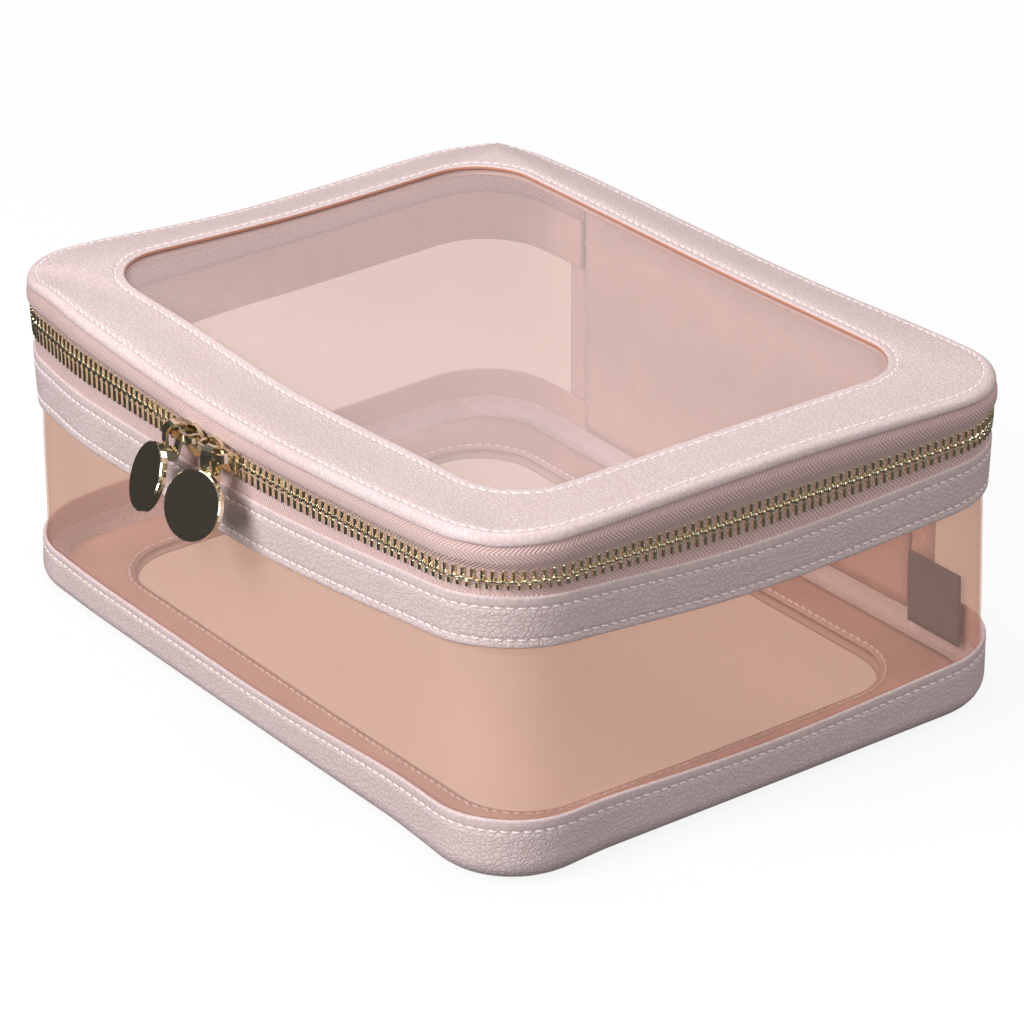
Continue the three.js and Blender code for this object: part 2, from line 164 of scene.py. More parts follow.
def window_rim(margin=0.0):
    """The window's outline, grown by a margin, with a station for each station of the bag's own rim."""
    radius = WINDOW_RADIUS + margin
    corner_x = WINDOW_X - WINDOW_RADIUS
    corner_y = WINDOW_Y - WINDOW_RADIUS
    side_x = corner_x + radius
    end_y = corner_y + radius
    down = -math.pi / 2
    stretches = [
        straight((0, end_y), (-corner_x, end_y), (0, 1), HALF_BACK_STEPS),
        turn((-corner_x, corner_y), radius, math.pi / 2, math.pi, CORNER_STEPS),
        straight((-side_x, corner_y), (-side_x, -corner_y), (-1, 0), SIDE_STEPS),
        turn((-corner_x, -corner_y), radius, -math.pi, down, CORNER_STEPS),
        straight((-corner_x, -end_y), (corner_x, -end_y), (0, -1), FRONT_STEPS),
        turn((corner_x, -corner_y), radius, down, 0, CORNER_STEPS),
        straight((side_x, -corner_y), (side_x, corner_y), (1, 0), SIDE_STEPS),
        turn((corner_x, corner_y), radius, 0, math.pi / 2, CORNER_STEPS),
        straight((corner_x, end_y), (0, end_y), (0, 1), HALF_BACK_STEPS),
    ]
    return gather(stretches, (0, end_y))


def bow_at(z):
    return BASE_BOW + smooth((z - TRAY_TOP) / (BAND_BOTTOM - TRAY_TOP)) * (FRONT_BOW - BASE_BOW)


def ring(inset, z, open_at=0.0):
    """One turn round the bag at a level, an inset inside its outer face."""
    points, normals = rim(bow_at(z), open_at)
    return np.column_stack([points - inset * normals, np.full(len(points), z)])


def window_ring(margin, z):
    points = window_rim(margin)[0]
    return np.column_stack([points, np.full(len(points), z)])


# ---- How the soft bag settles ----
# Each row says how far the bag stands above (or below) its CAD level, in millimetres, at nine places:
# the middle of the back, back left corner, left, front left corner, the front's left end, front,
# front right corner, right, back right corner. A whole turn round the bag counts 8.
PLACES = (0, 1, 2, 3, 3.3, 4, 5, 6, 7)
SETTLED = {
    0.0: (0, 0, 0, 0, 0, 0, 0, 0, 0),
    TRAY_TOP: (-0.5, 0.5, -1.0, -3.0, -3.2, -3.3, 2.2, -1.2, 1.5),
    BAND_BOTTOM: (0, -1.5, -3.0, -7.0, -5.5, -3.0, 4.6, -1.2, 1.0),
    BAND_TOP: (0, -1.5, -3.0, -4.0, -4.6, -3.0, 4.2, -1.8, 0.5),
    ZIP_LEVEL: (-0.8, -1.8, -2.3, -1.0, -0.6, -0.6, 1.5, -0.2, -0.5),
    LIP_BOTTOM: (-4.6, -5.0, -6.4, -2.7, -0.2, -3.0, 0.6, 1.2, -1.0),
    HEIGHT: (-5.6, -6.0, -8.0, -3.2, -0.6, -3.2, 0.5, 1.1, -1.6),
}
WINDOW_SETTLED = (-1.8, -1.5, -2.8, -1.2, -2.2, -5.0, -1.0, -0.6, -0.8)
WINDOW_MIDDLE = -2.4 * MM
# How far each corner is pushed out, in millimetres: front left, front right, back right, back left.
CORNERS = ((-1, -1), (1, -1), (1, 1), (-1, 1))
PUSHED = {
    0.0: (-1.2, 3.4, 0, 0),
    TRAY_TOP: (-1.8, 3.0, 0, 0),
    BAND_BOTTOM: (-4.2, 0, -1.5, 0),
    BAND_TOP: (-3.5, 0, -1.0, 0),
    ZIP_LEVEL: (-3.0, 0, -0.5, 0),
    LIP_BOTTOM: (-2.8, -1.0, -0.5, -1.5),
    HEIGHT: (-2.8, -1.5, -1.0, -2.0),
}
WINDOW_REACH = 0.8


def smooth(share):
    share = np.clip(share, 0, 1)
    return share * share * (3 - 2 * share)


def turn_share(u, v):
    """The place round the bag, from 0 at the middle of the back, by the left, front and right, to 8."""
    reach_u, reach_v = np.abs(u) + 1e-9, np.abs(v) + 1e-9
    back = (-u / reach_v) % 8
    sides = [v >= np.abs(u), -u >= np.abs(v), -v >= np.abs(u)]
    return np.select(sides, [back, 2 - v / reach_u, 4 + u / reach_v], 6 + v / reach_u)


def round_the_bag(amounts, turned):
    """Reads amounts given at PLACES, easing from each place to the next."""
    places = np.array(PLACES + (8,))
    values = np.array(amounts + (amounts[0],)) * MM
    index = np.clip(np.searchsorted(places, turned, side="right") - 1, 0, len(PLACES) - 1)
    share = smooth((turned - places[index]) / (places[index + 1] - places[index]))
    return values[index] * (1 - share) + values[index + 1] * share


def by_level(table, heights, read):
    """Reads a table whose rows stand at levels; a height between two levels gets a share of each."""
    levels = np.array(list(table))
    rows = np.array([read(table[level]) for level in levels])
    low = np.clip(np.searchsorted(levels, heights, side="right") - 1, 0, len(levels) - 2)
    share = np.clip((heights - levels[low]) / (levels[low + 1] - levels[low]), 0, 1)
    index = np.arange(len(heights))
    return rows[low, index] * (1 - share) + rows[low + 1, index] * share


def settle(points):
    """Moves points as the soft bag has settled, by their place round the bag and their level."""
    points = np.array(points, float)
    heights = points[:, 2].copy()
    u = points[:, 0] / (WIDTH / 2)
    v = (points[:, 1] - CENTRE_Y) / (DEPTH / 2)
    turned = turn_share(u, v)
    rim_move = by_level(SETTLED, heights, lambda row: round_the_bag(row, turned))
    reach = np.maximum(np.abs(u), np.abs(v))
    inward = smooth((1 - reach) / (1 - WINDOW_REACH))
    inward *= np.clip((heights - ZIP_LEVEL) / (LIP_BOTTOM - ZIP_LEVEL), 0, 1)
    window_move = round_the_bag(WINDOW_SETTLED, turned)
    window_move = WINDOW_MIDDLE + (window_move - WINDOW_MIDDLE) * np.clip(reach / WINDOW_REACH, 0, 1) ** 2
    points[:, 2] = np.maximum(0, heights + rim_move * (1 - inward) + window_move * inward)
    near_corner = smooth((np.abs(u) * np.abs(v) - 0.55) / 0.35)
    for place, (side_x, side_y) in enumerate(CORNERS):
        weight = near_corner * (u * side_x > 0) * (v * side_y > 0)
        push = by_level(PUSHED, heights, lambda row: weight * row[place] * MM) / math.sqrt(2)
        points[:, 0] += push * side_x
        points[:, 1] += push * side_y
    return points


# ---- Meshes ----
def make_object(name, points, faces, uvs=None, plain=None):
    mesh = bpy.data.meshes.new(name)
    mesh.from_pydata(np.asarray(points, float).tolist(), [], faces)
    if uvs is not None:
        layer = mesh.uv_layers.new(name="Sheet")
        layer.data.foreach_set("uv", np.array(uvs, np.float32).ravel())
    if plain is not None:
        attribute = mesh.attributes.new("plain", "FLOAT", "POINT")
        attribute.data.foreach_set("value", np.array(plain, np.float32))
    mesh.shade_smooth()
    made = bpy.data.objects.new(name, mesh)
    bpy.context.scene.collection.objects.link(made)
    return made


def face_out(made):
    """Turns a closed mesh's faces outwards, if they point in."""
    work = bmesh.new()
    work.from_mesh(made.data)
    if work.calc_volume(signed=True) < 0:
        made.data.flip_normals()
    work.free()
    return made


def loft(name, rings, closed=True, plain=None):
    """A closed skin through rings of points: round the section, and round or along the path."""
    if closed:
        rings = [one[:-1] for one in rings]
    rows, count = len(rings), len(rings[0])
    points = np.vstack(rings)
    along = np.concatenate([[0], np.cumsum(np.linalg.norm(np.diff(rings[0], axis=0), axis=1))])
    along = np.append(along, along[-1] + np.linalg.norm(rings[0][0] - rings[0][-1]))
    middle = count // 2
    spine = np.array([one[middle] for one in rings] + [rings[0][middle]])
    across = np.concatenate([[0], np.cumsum(np.linalg.norm(np.diff(spine, axis=0), axis=1))])
    faces, uvs = [], []
    for r in range(rows):
        following = (r + 1) % rows
        for i in range(count if closed else count - 1):
            j = (i + 1) % count
            faces.append((r * count + i, following * count + i, following * count + j, r * count + j))
            uvs += [(along[i], across[r]), (along[i], across[r + 1])]
            uvs += [(along[i + 1], across[r + 1]), (along[i + 1], across[r])]
    if not closed:
        start = [r * count for r in range(rows)]
        end = [r * count + count - 1 for r in reversed(range(rows))]
        faces += [tuple(start), tuple(end)]
        uvs += [(0, across[r]) for r in range(rows)] + [(along[-2], across[r]) for r in reversed(range(rows))]
    flags = None if plain is None else np.repeat(plain, count)
    return face_out(make_object(name, points, faces, uvs, flags))


def cap_fix(made):
    """Cuts the flat end caps of an open strip into triangles, so they stay flat once it bends."""
    modifier = made.modifiers.new("Triangulate", "TRIANGULATE")
    modifier.min_vertices = 5
    return made


def dent(position, seams):
    return sum(SEAM_DENT * math.exp(-((position - seam) / SEAM_WIDTH) ** 2) for seam in seams)


def half_round(inset, z, radius, start, end, count=6):
    """Section corners on an arc; the angle is 0 outwards and 90 degrees up."""
    corners = []
    for i in range(count + 1):
        angle = math.radians(start + (end - start) * i / count)
        corners.append((inset - radius * math.cos(angle), z + radius * math.sin(angle)))
    return corners


def levels_between(low, high, step=ROW_STEP):
    count = max(2, round((high - low) / step))
    return np.linspace(low, high, count + 1)[1:-1]


def upright_section(low, high, thickness, seams=(), inset=0.0):
    """Section of an upright strip: two round folded edges and a dent along each seam."""
    half = thickness / 2
    outer = [(inset + dent(z, seams), z) for z in levels_between(low + half, high - half)]
    inner = [(inset + thickness, z) for z in reversed(levels_between(low + half, high - half, 4 * ROW_STEP))]
    top = half_round(inset + half, high - half, half, 0, 180)
    bottom = half_round(inset + half, low + half, half, 180, 360)
    return outer + top + inner + bottom


def strip(name, section, open_at=0.0, plain_above=None):
    rings = [ring(inset, z, open_at) for inset, z in section]
    plain = None
    if plain_above is not None:
        plain = [1.0 if z > plain_above else 0.0 for inset, z in section]
    made = loft(name, rings, closed=open_at == 0, plain=plain)
    return made if open_at == 0 else cap_fix(made)


# ---- Materials ----
class Paint:
    """A node material with short calls for making and joining nodes."""

    def __init__(self, name):
        self.material = bpy.data.materials.new(name)
        self.material.use_nodes = True
        self.tree = self.material.node_tree
        self.tree.nodes.clear()
        self.output = self.tree.nodes.new("ShaderNodeOutputMaterial")

    def node(self, kind, settings=None, **inputs):
        made = self.tree.nodes.new(kind)
        for key, value in (settings or {}).items():
            setattr(made, key, value)
        for key, value in inputs.items():
            socket = made.inputs[key.replace("_", " ")]
            if isinstance(value, bpy.types.NodeSocket):
                self.tree.links.new(value, socket)
            else:
                socket.default_value = value
        return made

    def math(self, operation, first, second=0.0, third=0.0):
        made = self.tree.nodes.new("ShaderNodeMath")
        made.operation = operation
        for socket, value in zip(made.inputs, (first, second, third)):
            if isinstance(value, bpy.types.NodeSocket):
                self.tree.links.new(value, socket)
            else:
                socket.default_value = value
        return made.outputs[0]

    def blend_colour(self, factor, first, second):
        made = self.tree.nodes.new("ShaderNodeMix")
        made.data_type = "RGBA"
        self.tree.links.new(factor, made.inputs["Factor"])
        made.inputs["A"].default_value = first
        made.inputs["B"].default_value = second
        return made.outputs["Result"]

    def place(self):
        return self.node("ShaderNodeTexCoord").outputs["Object"]

    def sheet_place(self):
        return self.node("ShaderNodeUVMap", {"uv_map": "Sheet"}).outputs["UV"]

    def finish(self, shader):
        self.tree.links.new(shader.outputs[0], self.output.inputs["Surface"])
        return self.material


def srgb(red, green, blue):
    """A display colour from 0 to 255, as the linear colour that the shaders use."""
    shares = [channel / 255 for channel in (red, green, blue)]
    linear = [s / 12.92 if s <= 0.04045 else ((s + 0.055) / 1.055) ** 2.4 for s in shares]
    return (*linear, 1)


def leather_material(name, light, deep, pebble=1.5, depth=0.1):
    """Pebbled leather: rounded cells with fine creases between them, smooth where an edge is rolled. The
    creases are also coloured darker, a painted shade over a random tone.
    """
    paint = Paint(name)
    place = paint.place()
    wander = paint.node("ShaderNodeTexNoise", Vector=place, Scale=420.0, Detail=2.0)
    shift = paint.node("ShaderNodeVectorMath", {"operation": "SCALE"}, Scale=0.9 * MM)
    paint.tree.links.new(wander.outputs["Color"], shift.inputs[0])
    moved = paint.node("ShaderNodeVectorMath", {"operation": "ADD"})
    paint.tree.links.new(place, moved.inputs[0])
    paint.tree.links.new(shift.outputs[0], moved.inputs[1])
    cells = paint.node("ShaderNodeTexVoronoi", {"feature": "DISTANCE_TO_EDGE"}, Vector=moved.outputs[0],
                       Scale=1 / (pebble * MM), Randomness=0.95)
    crease = paint.node("ShaderNodeMapRange", {"interpolation_type": "SMOOTHSTEP"},
                        Value=cells.outputs["Distance"], From_Min=0.0, From_Max=0.22, To_Min=0.0, To_Max=1.0)
    fine = paint.node("ShaderNodeTexNoise", Vector=place, Scale=2600.0, Detail=3.0)
    tone = paint.node("ShaderNodeTexNoise", Vector=place, Scale=22.0, Detail=3.0)
    plain = paint.node("ShaderNodeAttribute", {"attribute_name": "plain"}).outputs["Fac"]
    grain = paint.math("MULTIPLY_ADD", plain, -0.9, 1.0)
    height = paint.math("MULTIPLY_ADD", fine.outputs["Fac"], 0.18, crease.outputs["Result"])
    # Painted shade: the creases between the pebbles are coloured darker, mixed with the random tone below.
    painted_crease_shade = paint.math("MULTIPLY", crease.outputs["Result"], 0.5)
    shade = paint.math("MULTIPLY_ADD", tone.outputs["Fac"], 0.3, painted_crease_shade)
    colour = paint.blend_colour(shade, deep, light)
    bump = paint.node("ShaderNodeBump", Strength=grain, Distance=depth * MM, Height=height)
    rough = paint.math("MULTIPLY_ADD", fine.outputs["Fac"], 0.16, 0.42)
    shader = paint.node("ShaderNodeBsdfPrincipled", Base_Color=colour, Roughness=rough,
                        Normal=bump.outputs["Normal"], Sheen_Weight=0.08, Sheen_Roughness=0.4)
    return paint.finish(shader)


def clear_material(name, tint, veil, body, rough=0.3):
    """Frosted soft sheet: part of the light passes, tinted, and the rest meets a milky satin surface."""
    paint = Paint(name)
    place = paint.place()
    haze = paint.node("ShaderNodeTexNoise", Vector=place, Scale=60.0, Detail=4.0)
    speck = paint.node("ShaderNodeTexNoise", Vector=place, Scale=1800.0, Detail=2.0)
    bump = paint.node("ShaderNodeBump", Strength=0.25, Distance=0.05 * MM, Height=speck.outputs["Fac"])
    roughness = paint.math("MULTIPLY_ADD", haze.outputs["Fac"], 0.12, rough)
    milk = paint.node("ShaderNodeBsdfPrincipled", Base_Color=body, Roughness=roughness,
                      Normal=bump.outputs["Normal"], Subsurface_Weight=0.0)
    through = paint.node("ShaderNodeBsdfTransparent", Color=tint)
    mixed = paint.node("ShaderNodeMixShader")
    mixed.inputs[0].default_value = veil
    paint.tree.links.new(through.outputs[0], mixed.inputs[1])
    paint.tree.links.new(milk.outputs[0], mixed.inputs[2])
    return paint.finish(mixed)


def tape_material(name):
    """Herringbone woven zip tape: ribs that lean one way and then the other, in rows along the tape."""
    paint = Paint(name)
    split = paint.node("ShaderNodeSeparateXYZ", Vector=paint.sheet_place())
    zigzag = paint.math("PINGPONG", split.outputs["Y"], 3.0 * MM)
    lean = paint.math("ADD", split.outputs["X"], zigzag)
    rib = paint.math("SINE", paint.math("MULTIPLY", lean, 2 * math.pi / (1.25 * MM)))
    knot = paint.math("SINE", paint.math("MULTIPLY", split.outputs["Y"], 2 * math.pi / (0.6 * MM)))
    height = paint.math("MULTIPLY_ADD", knot, 0.3, rib)
    share = paint.math("MULTIPLY_ADD", height, 0.36, 0.55)
    colour = paint.blend_colour(share, srgb(194, 150, 146), srgb(236, 210, 206))
    bump = paint.node("ShaderNodeBump", Strength=0.8, Distance=0.12 * MM, Height=height)
    shader = paint.node("ShaderNodeBsdfPrincipled", Base_Color=colour, Roughness=0.6,
                        Normal=bump.outputs["Normal"], Sheen_Weight=0.25, Sheen_Roughness=0.35)
    return paint.finish(shader)


def cloth_material(name, light, deep, thread=0.35):
    """Plain woven cloth: crossing threads, with a slow change of tone."""
    paint = Paint(name)
    split = paint.node("ShaderNodeSeparateXYZ", Vector=paint.place())
    turns = 2 * math.pi / (thread * MM)
    waves = [paint.math("SINE", paint.math("MULTIPLY", split.outputs[axis], turns)) for axis in "XYZ"]
    weave = paint.math("ADD", paint.math("MULTIPLY", waves[0], waves[1]), waves[2])
    tone = paint.node("ShaderNodeTexNoise", Vector=paint.place(), Scale=90.0, Detail=3.0)
    share = paint.math("MULTIPLY_ADD", weave, 0.12, tone.outputs["Fac"])
    colour = paint.blend_colour(share, deep, light)
    bump = paint.node("ShaderNodeBump", Strength=0.5, Distance=0.06 * MM, Height=weave)
    shader = paint.node("ShaderNodeBsdfPrincipled", Base_Color=colour, Roughness=0.8,
                        Normal=bump.outputs["Normal"])
    return paint.finish(shader)


def thread_material(name, light, deep):
    """Twisted sewing thread with a soft shine."""
    paint = Paint(name)
    twist = paint.node("ShaderNodeTexNoise", Vector=paint.place(), Scale=3200.0, Detail=2.0)
    colour = paint.blend_colour(twist.outputs["Fac"], deep, light)
    bump = paint.node("ShaderNodeBump", Strength=0.5, Distance=0.05 * MM, Height=twist.outputs["Fac"])
    shader = paint.node("ShaderNodeBsdfPrincipled", Base_Color=colour, Roughness=0.45,
                        Normal=bump.outputs["Normal"], Sheen_Weight=0.3)
    return paint.finish(shader)


def gold_material(name, colour, rough):
    """Polished pale gold plating with faint handling marks."""
    paint = Paint(name)
    place = paint.place()
    marks = paint.node("ShaderNodeTexNoise", Vector=place, Scale=900.0, Detail=4.0)
    swell = paint.node("ShaderNodeTexNoise", Vector=place, Scale=140.0, Detail=1.0)
    roughness = paint.math("MULTIPLY_ADD", marks.outputs["Fac"], 0.12, rough)
    bump = paint.node("ShaderNodeBump", Strength=0.12, Distance=0.05 * MM, Height=swell.outputs["Fac"])
    shader = paint.node("ShaderNodeBsdfPrincipled", Base_Color=colour, Metallic=1.0, Roughness=roughness,
                        Normal=bump.outputs["Normal"])
    return paint.finish(shader)


# Both leathers carry the painted crease shade from leather_material.
LEATHER_MAT = leather_material("pebbled_leather", srgb(236, 219, 219), srgb(214, 189, 188))
EDGE_MAT = leather_material("cut_leather_edge", srgb(214, 158, 132), srgb(196, 134, 108), 0.5, 0.05)
TAPE_MAT = tape_material("herringbone_tape")
LINING_MAT = cloth_material("lining_cloth", srgb(226, 190, 176), srgb(208, 168, 152))
BOARD_MAT = cloth_material("stiffener_board", srgb(206, 198, 188), srgb(188, 180, 168), 0.8)
LABEL_MAT = cloth_material("label_cloth", srgb(112, 106, 102), srgb(88, 84, 82), 0.4)
THREAD_MAT = thread_material("sewing_thread", srgb(255, 248, 247), srgb(238, 220, 218))
GOLD_MAT = gold_material("zip_gold", (0.93, 0.84, 0.60, 1), 0.14)
PULL_MAT = gold_material("pull_gold", (0.90, 0.82, 0.62, 1), 0.05)
WINDOW_MAT = clear_material("clear_window", (0.975, 0.94, 0.935, 1), 0.26, srgb(238, 220, 218))
WALL_MAT = clear_material("clear_wall_sheet", (0.95, 0.85, 0.79, 1), 0.22, srgb(230, 202, 194))


# ---- Handing a piece over to the frame ----
def dress(made, material, slot_name, *nodes):
    made.data.materials.clear()
    made.data.materials.append(material)
    if nodes:
        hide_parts(*nodes)
    return made


def soft(made):
    """Moves the piece's points as the bag has settled."""
    points = np.array([tuple(v.co) for v in made.data.vertices])
    made.data.vertices.foreach_set("co", settle(points).astype(np.float32).ravel())
    made.data.update()
    return made


# ---- Stitches ----
def along_path(path, distances):
    """Points at the given distances along a path of points."""
    steps = np.linalg.norm(np.diff(path[:, :3], axis=0), axis=1)
    lengths = np.concatenate([[0], np.cumsum(steps)])
    return np.column_stack([np.interp(distances, lengths, path[:, axis]) for axis in range(path.shape[1])])


def path_length(path):
    return np.linalg.norm(np.diff(path, axis=0), axis=1).sum()


def unit(vectors):
    return vectors / np.linalg.norm(vectors, axis=1)[:, None]


def many_solids(name, rings):
    """One mesh of many small closed solids. Rings are counted by solid, by ring and by corner."""
    solids, rows, sides = rings.shape[:3]
    faces = []
    for solid in range(solids):
        base = solid * rows * sides
        for row in range(rows - 1):
            low, high = base + row * sides, base + (row + 1) * sides
            for corner in range(sides):
                following = (corner + 1) % sides
                faces.append((low + corner, low + following, high + following, high + corner))
        last = base + (rows - 1) * sides
        faces.append(tuple(range(base + sides - 1, base - 1, -1)))
        faces.append(tuple(range(last, last + sides)))
    return face_out(make_object(name, settle(rings.reshape(-1, 3)), faces))


def stitches(name, path, normals, body):
    """A row of thread stitches that dip into the leather at both ends, along a path of points."""
    count = int(path_length(path) / STITCH_PITCH)
    pitch = path_length(path) / count
    starts = (np.arange(count) + 0.5) * pitch - STITCH_LENGTH / 2
    stops = ((0.0, -0.8, 0.6), (0.14, 0.3, 0.95), (0.5, 0.75, 1.0), (0.86, 0.3, 0.95), (1.0, -0.8, 0.6))
    angles = np.linspace(0, 2 * math.pi, 7)[:-1]
    lean = 0.3 * MM
    rings = []
    for share, rise, width in stops:
        distances = starts + share * STITCH_LENGTH
        centre = along_path(path, distances)
        normal = unit(along_path(np.column_stack([path, normals]), distances)[:, 3:])
        ahead, behind = along_path(path, distances + 0.2 * MM), along_path(path, distances - 0.2 * MM)
        side = unit(np.cross(ahead - behind, normal))
        centre = centre + normal * rise * THREAD_RADIUS + side * (share - 0.5) * lean
        spokes = [side * math.cos(angle) + normal * math.sin(angle) for angle in angles]
        rings.append(np.stack([centre + spoke * THREAD_RADIUS * width for spoke in spokes], axis=1))
    made = many_solids(name, np.stack(rings, axis=1))
    dress(made, THREAD_MAT, "leather")
    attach(made, body)
    return made


def seam_round(name, level, body, open_at=0.0):
    """Stitches round the upright outside of the bag."""
    path = ring(SEAM_DENT, level, open_at)
    normals = rim(bow_at(level), open_at)[1]
    outward = np.column_stack([normals, np.zeros(len(normals))])
    return stitches(name, path, outward, body)


def upwards(path):
    return np.tile(np.array([0.0, 0.0, 1.0]), (len(path), 1))


# ---- Lid ----
def lid_leather():
    """The lid's leather frame, from the window's cut edge over the top and down its rolled lip."""
    top, under = HEIGHT, HEIGHT - LEATHER
    spread = 9
    inner_margin, outer_inset = 5 * MM, 6 * MM
    edge = 0.35 * MM
    rings = [(window_ring(0, z), 1) for z in (under, under + 0.4 * MM, top - edge)]
    rings.append((window_ring(edge * 0.3, top - edge * 0.3), 1))
    for margin in np.linspace(edge, inner_margin, 12):
        plain = 0.7 if margin < 1.4 * MM else 0
        rings.append((window_ring(margin, top - dent(margin, [WINDOW_SEAM])), plain))
    near, far = window_ring(inner_margin, top), ring(outer_inset, top)
    for i in range(1, spread):
        share = i / spread
        rings.append((near + (far - near) * share, 0))
    lip_turn = 2.4 * MM
    for inset in np.linspace(outer_inset, lip_turn, 12):
        rings.append((ring(inset, top - dent(inset, [LID_SEAM])), 1 if inset < LID_SEAM - SEAM_WIDTH else 0))
    for inset, z in half_round(lip_turn, top - lip_turn, lip_turn, 90, 0, 5)[1:]:
        rings.append((ring(inset, z), 1))
    half = LEATHER / 2
    for inset, z in half_round(half, LIP_BOTTOM + half, half, 0, -180, 5):
        rings.append((ring(inset, z), 1))
    rings.append((ring(LEATHER, under - 0.3 * MM), 1))
    rings.append((ring(LEATHER + 0.3 * MM, under), 1))
    inner = ring(LEATHER + 0.3 * MM, under)
    for share in (0.34, 0.67):
        rings.append((inner + (window_ring(0, under) - inner) * share, 1))
    made = loft("lid_frame_leather", [one for one, flag in rings], plain=[flag for one, flag in rings])
    dress(soft(made), LEATHER_MAT, "leather", "lid_frame")
    made.data.materials.append(EDGE_MAT)
    count = len(rings[0][0]) - 1
    for polygon in made.data.polygons:
        if polygon.index < 2 * count:
            polygon.material_index = 1
    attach(made, "lid")


def flat_frame(name, low, high, outer, margin):
    """A flat sheet with the window's opening, between two levels."""
    def row(share, z):
        inside = window_ring(margin, z)
        return inside + (ring(outer, z) - inside) * share
    shares = np.linspace(0, 1, 8)
    rings = [row(share, high) for share in shares] + [row(share, low) for share in reversed(shares)]
    return soft(loft(name, rings))


def window_sheet(name, low, high, material, node, body):
    """The clear sheet behind a window: a thin closed skin, gently uneven, round two middle points."""
    shares = (1.0, 0.97, 0.9, 0.78, 0.64, 0.5, 0.36, 0.22, 0.1)
    centre = np.array([0, CENTRE_Y, 0])

    def rows(z):
        edge = window_ring(WINDOW_OVERLAP, z)[:-1] - centre
        return [edge * [share, share, 1] + centre for share in shares]
    rings = rows(high) + rows(low)[::-1]
    count = len(rings[0])
    half = len(shares)
    points = np.vstack(rings + [[(0, CENTRE_Y, high)], [(0, CENTRE_Y, low)]])
    wave = np.sin(points[:, 0] * 38 + 1.3) * np.sin((points[:, 1] - CENTRE_Y) * 47 + 0.6)
    reach = np.abs(points[:, 0]) / (WINDOW_X + WINDOW_OVERLAP)
    points[:, 2] += 0.35 * MM * wave * (1 - reach ** 2)
    top_middle, low_middle = len(points) - 2, len(points) - 1
    faces = []
    for i in range(count):
        j = (i + 1) % count
        for r in range(2 * half):
            following = (r + 1) % (2 * half)
            if r != half - 1:
                faces.append((r * count + i, following * count + i, following * count + j, r * count + j))
        faces.append(((half - 1) * count + i, top_middle, (half - 1) * count + j))
        faces.append((half * count + j, low_middle, half * count + i))
    made = face_out(make_object(name, points, faces))
    dress(soft(made), material, "clear_sheet", node)
    made.visible_shadow = False
    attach(made, body)


def lid_layers():
    low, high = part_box("lid_window")
    window_sheet("lid_window_sheet", low.z, high.z, WINDOW_MAT, "lid_window", "lid")
    low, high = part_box("lid_stiffener")
    board = flat_frame("lid_board", low.z, high.z, LINING_INSET, BOARD_MARGIN)
    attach(dress(board, BOARD_MAT, "board", "lid_stiffener"), "lid")
    low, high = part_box("lid_lining_frame")
    lining = flat_frame("lid_lining", low.z, high.z, LINING_INSET, LINING_MARGIN)
    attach(dress(lining, LINING_MAT, "lining", "lid_lining_frame"), "lid")
    path = ring(LID_SEAM, HEIGHT - SEAM_DENT)
    stitches("lid_edge_stitches", path, upwards(path), "lid")
    path = window_ring(WINDOW_SEAM, HEIGHT - SEAM_DENT)
    stitches("lid_window_stitches", path, upwards(path), "lid")


# ---- Zip ----
def tape(name, edge, end, inset, swell, node, body):
    """Woven tape from the teeth's edge to its sewn end, swelling outwards between the two."""
    levels = np.linspace(edge, end, 17)
    shares = np.abs(levels - edge) / abs(end - edge)
    pushes = swell * smooth((shares - 0.12) / 0.4) * smooth((1 - shares) / 0.35)
    outer = [(inset - push, z) for push, z in zip(pushes, levels)]
    inner = [(inset - push + TAPE, z) for push, z in zip(pushes[::-1], levels[::-1])]
    made = strip(name, outer + inner, PANEL_TUCK)
    dress(soft(made), TAPE_MAT, "zip_tape", node)
    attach(made, body)


def tooth_shape(sign):
    """Corner rings of one tooth about the chain's middle line: a leg on the tape and a round head."""
    leg, head = 0.58 * MM, 0.8 * MM
    profile = [(3.45, 0.8), (3.35, 1.0), (1.3, 1.0), (0.9, 0.75)]
    knob = [(0.75, 1.1), (0.35, 1.35), (-0.15, 1.25), (-0.45, 0.7)]
    rows = [(z * MM * sign, leg * width, 0.85 * MM) for z, width in profile]
    rows += [(z * MM * sign, head * width * 0.72, 0.9 * MM * width / 1.35) for z, width in knob]
    return rows


def teeth(name, sign, offset, open_at, node, body):
    """One row of metal teeth, each standing across the tape's edge."""
    path = ring(0, ZIP_LEVEL, open_at)
    normals = np.column_stack([rim(bow_at(ZIP_LEVEL), open_at)[1], np.zeros(len(path))])
    count = int((path_length(path) - TOOTH_PITCH) / TOOTH_PITCH)
    distances = (path_length(path) - count * TOOTH_PITCH) / 2 + (np.arange(count) + offset) * TOOTH_PITCH
    centre = along_path(path, distances)
    normal = unit(along_path(np.column_stack([path, normals]), distances)[:, 3:])
    side = np.column_stack([-normal[:, 1], normal[:, 0], np.zeros(count)])
    centre = centre - normal * TOOTH_MIDDLE
    corners = (np.arange(8) + 0.5) * math.pi / 4
    rings = []
    for z, half_width, half_depth in tooth_shape(sign):
        row = []
        for angle in corners:
            x = np.clip(1.25 * math.cos(angle), -1, 1) * half_width
            y = np.clip(1.25 * math.sin(angle), -1, 1) * half_depth
            row.append(centre + side * x + normal * y + np.array([0, 0, z]))
        rings.append(np.stack(row, axis=1))
    made = many_solids(name, np.stack(rings, axis=1))
    made.data.shade_flat()
    bevel = made.modifiers.new("Edges", "BEVEL")
    bevel.width = 0.12 * MM
    bevel.segments = 1
    bevel.limit_method = "ANGLE"
    dress(made, GOLD_MAT, "zip_metal", node)
    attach(made, body)


